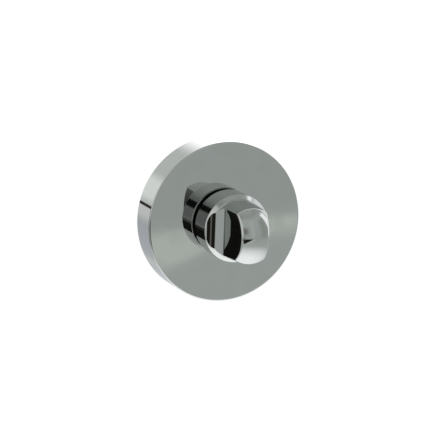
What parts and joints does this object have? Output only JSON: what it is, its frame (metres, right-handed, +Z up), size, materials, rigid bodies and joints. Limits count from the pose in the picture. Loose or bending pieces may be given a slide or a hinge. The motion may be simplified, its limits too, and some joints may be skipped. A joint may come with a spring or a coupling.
{
  "type": "bathroom thumb turn",
  "caption": "Thumb turn on a round rose for the inside of a bathroom door: a chromed grip with finger scoops that turns a square spindle through a quarter turn.",
  "frame": {"origin": "centre of the rose, on the door's face, on the turn's axis", "axes": "+Y along the spindle into the door, so the front faces -Y, +Z up, +X to the right seen from the front"},
  "size_m": [0.052, 0.0741, 0.052],
  "materials": {
    "polished_chrome": "mirror polished",
    "black_nylon": "moulded, matt",
    "brass": "turned",
    "zinc_steel": "zinc plated",
    "spring_steel": "oiled black"
  },
  "bodies": {
    "rose": {"rose_cover": "polished_chrome", "base_plate": "black_nylon", "threaded_inserts": "brass", "thrust_washer": "zinc_steel"},
    "turn": {"thumb_turn": "polished_chrome", "spindle": "zinc_steel", "spring_pin": "spring_steel", "retaining_ring": "spring_steel", "wave_washer": "spring_steel"}
  },
  "joints": [
    {"name": "quarter_turn", "type": "hinge", "parent": "rose", "child": "turn", "pos_m": [0, 0, 0], "axis": [0, 1, 0], "range_deg": [0, 90]}
  ]
}
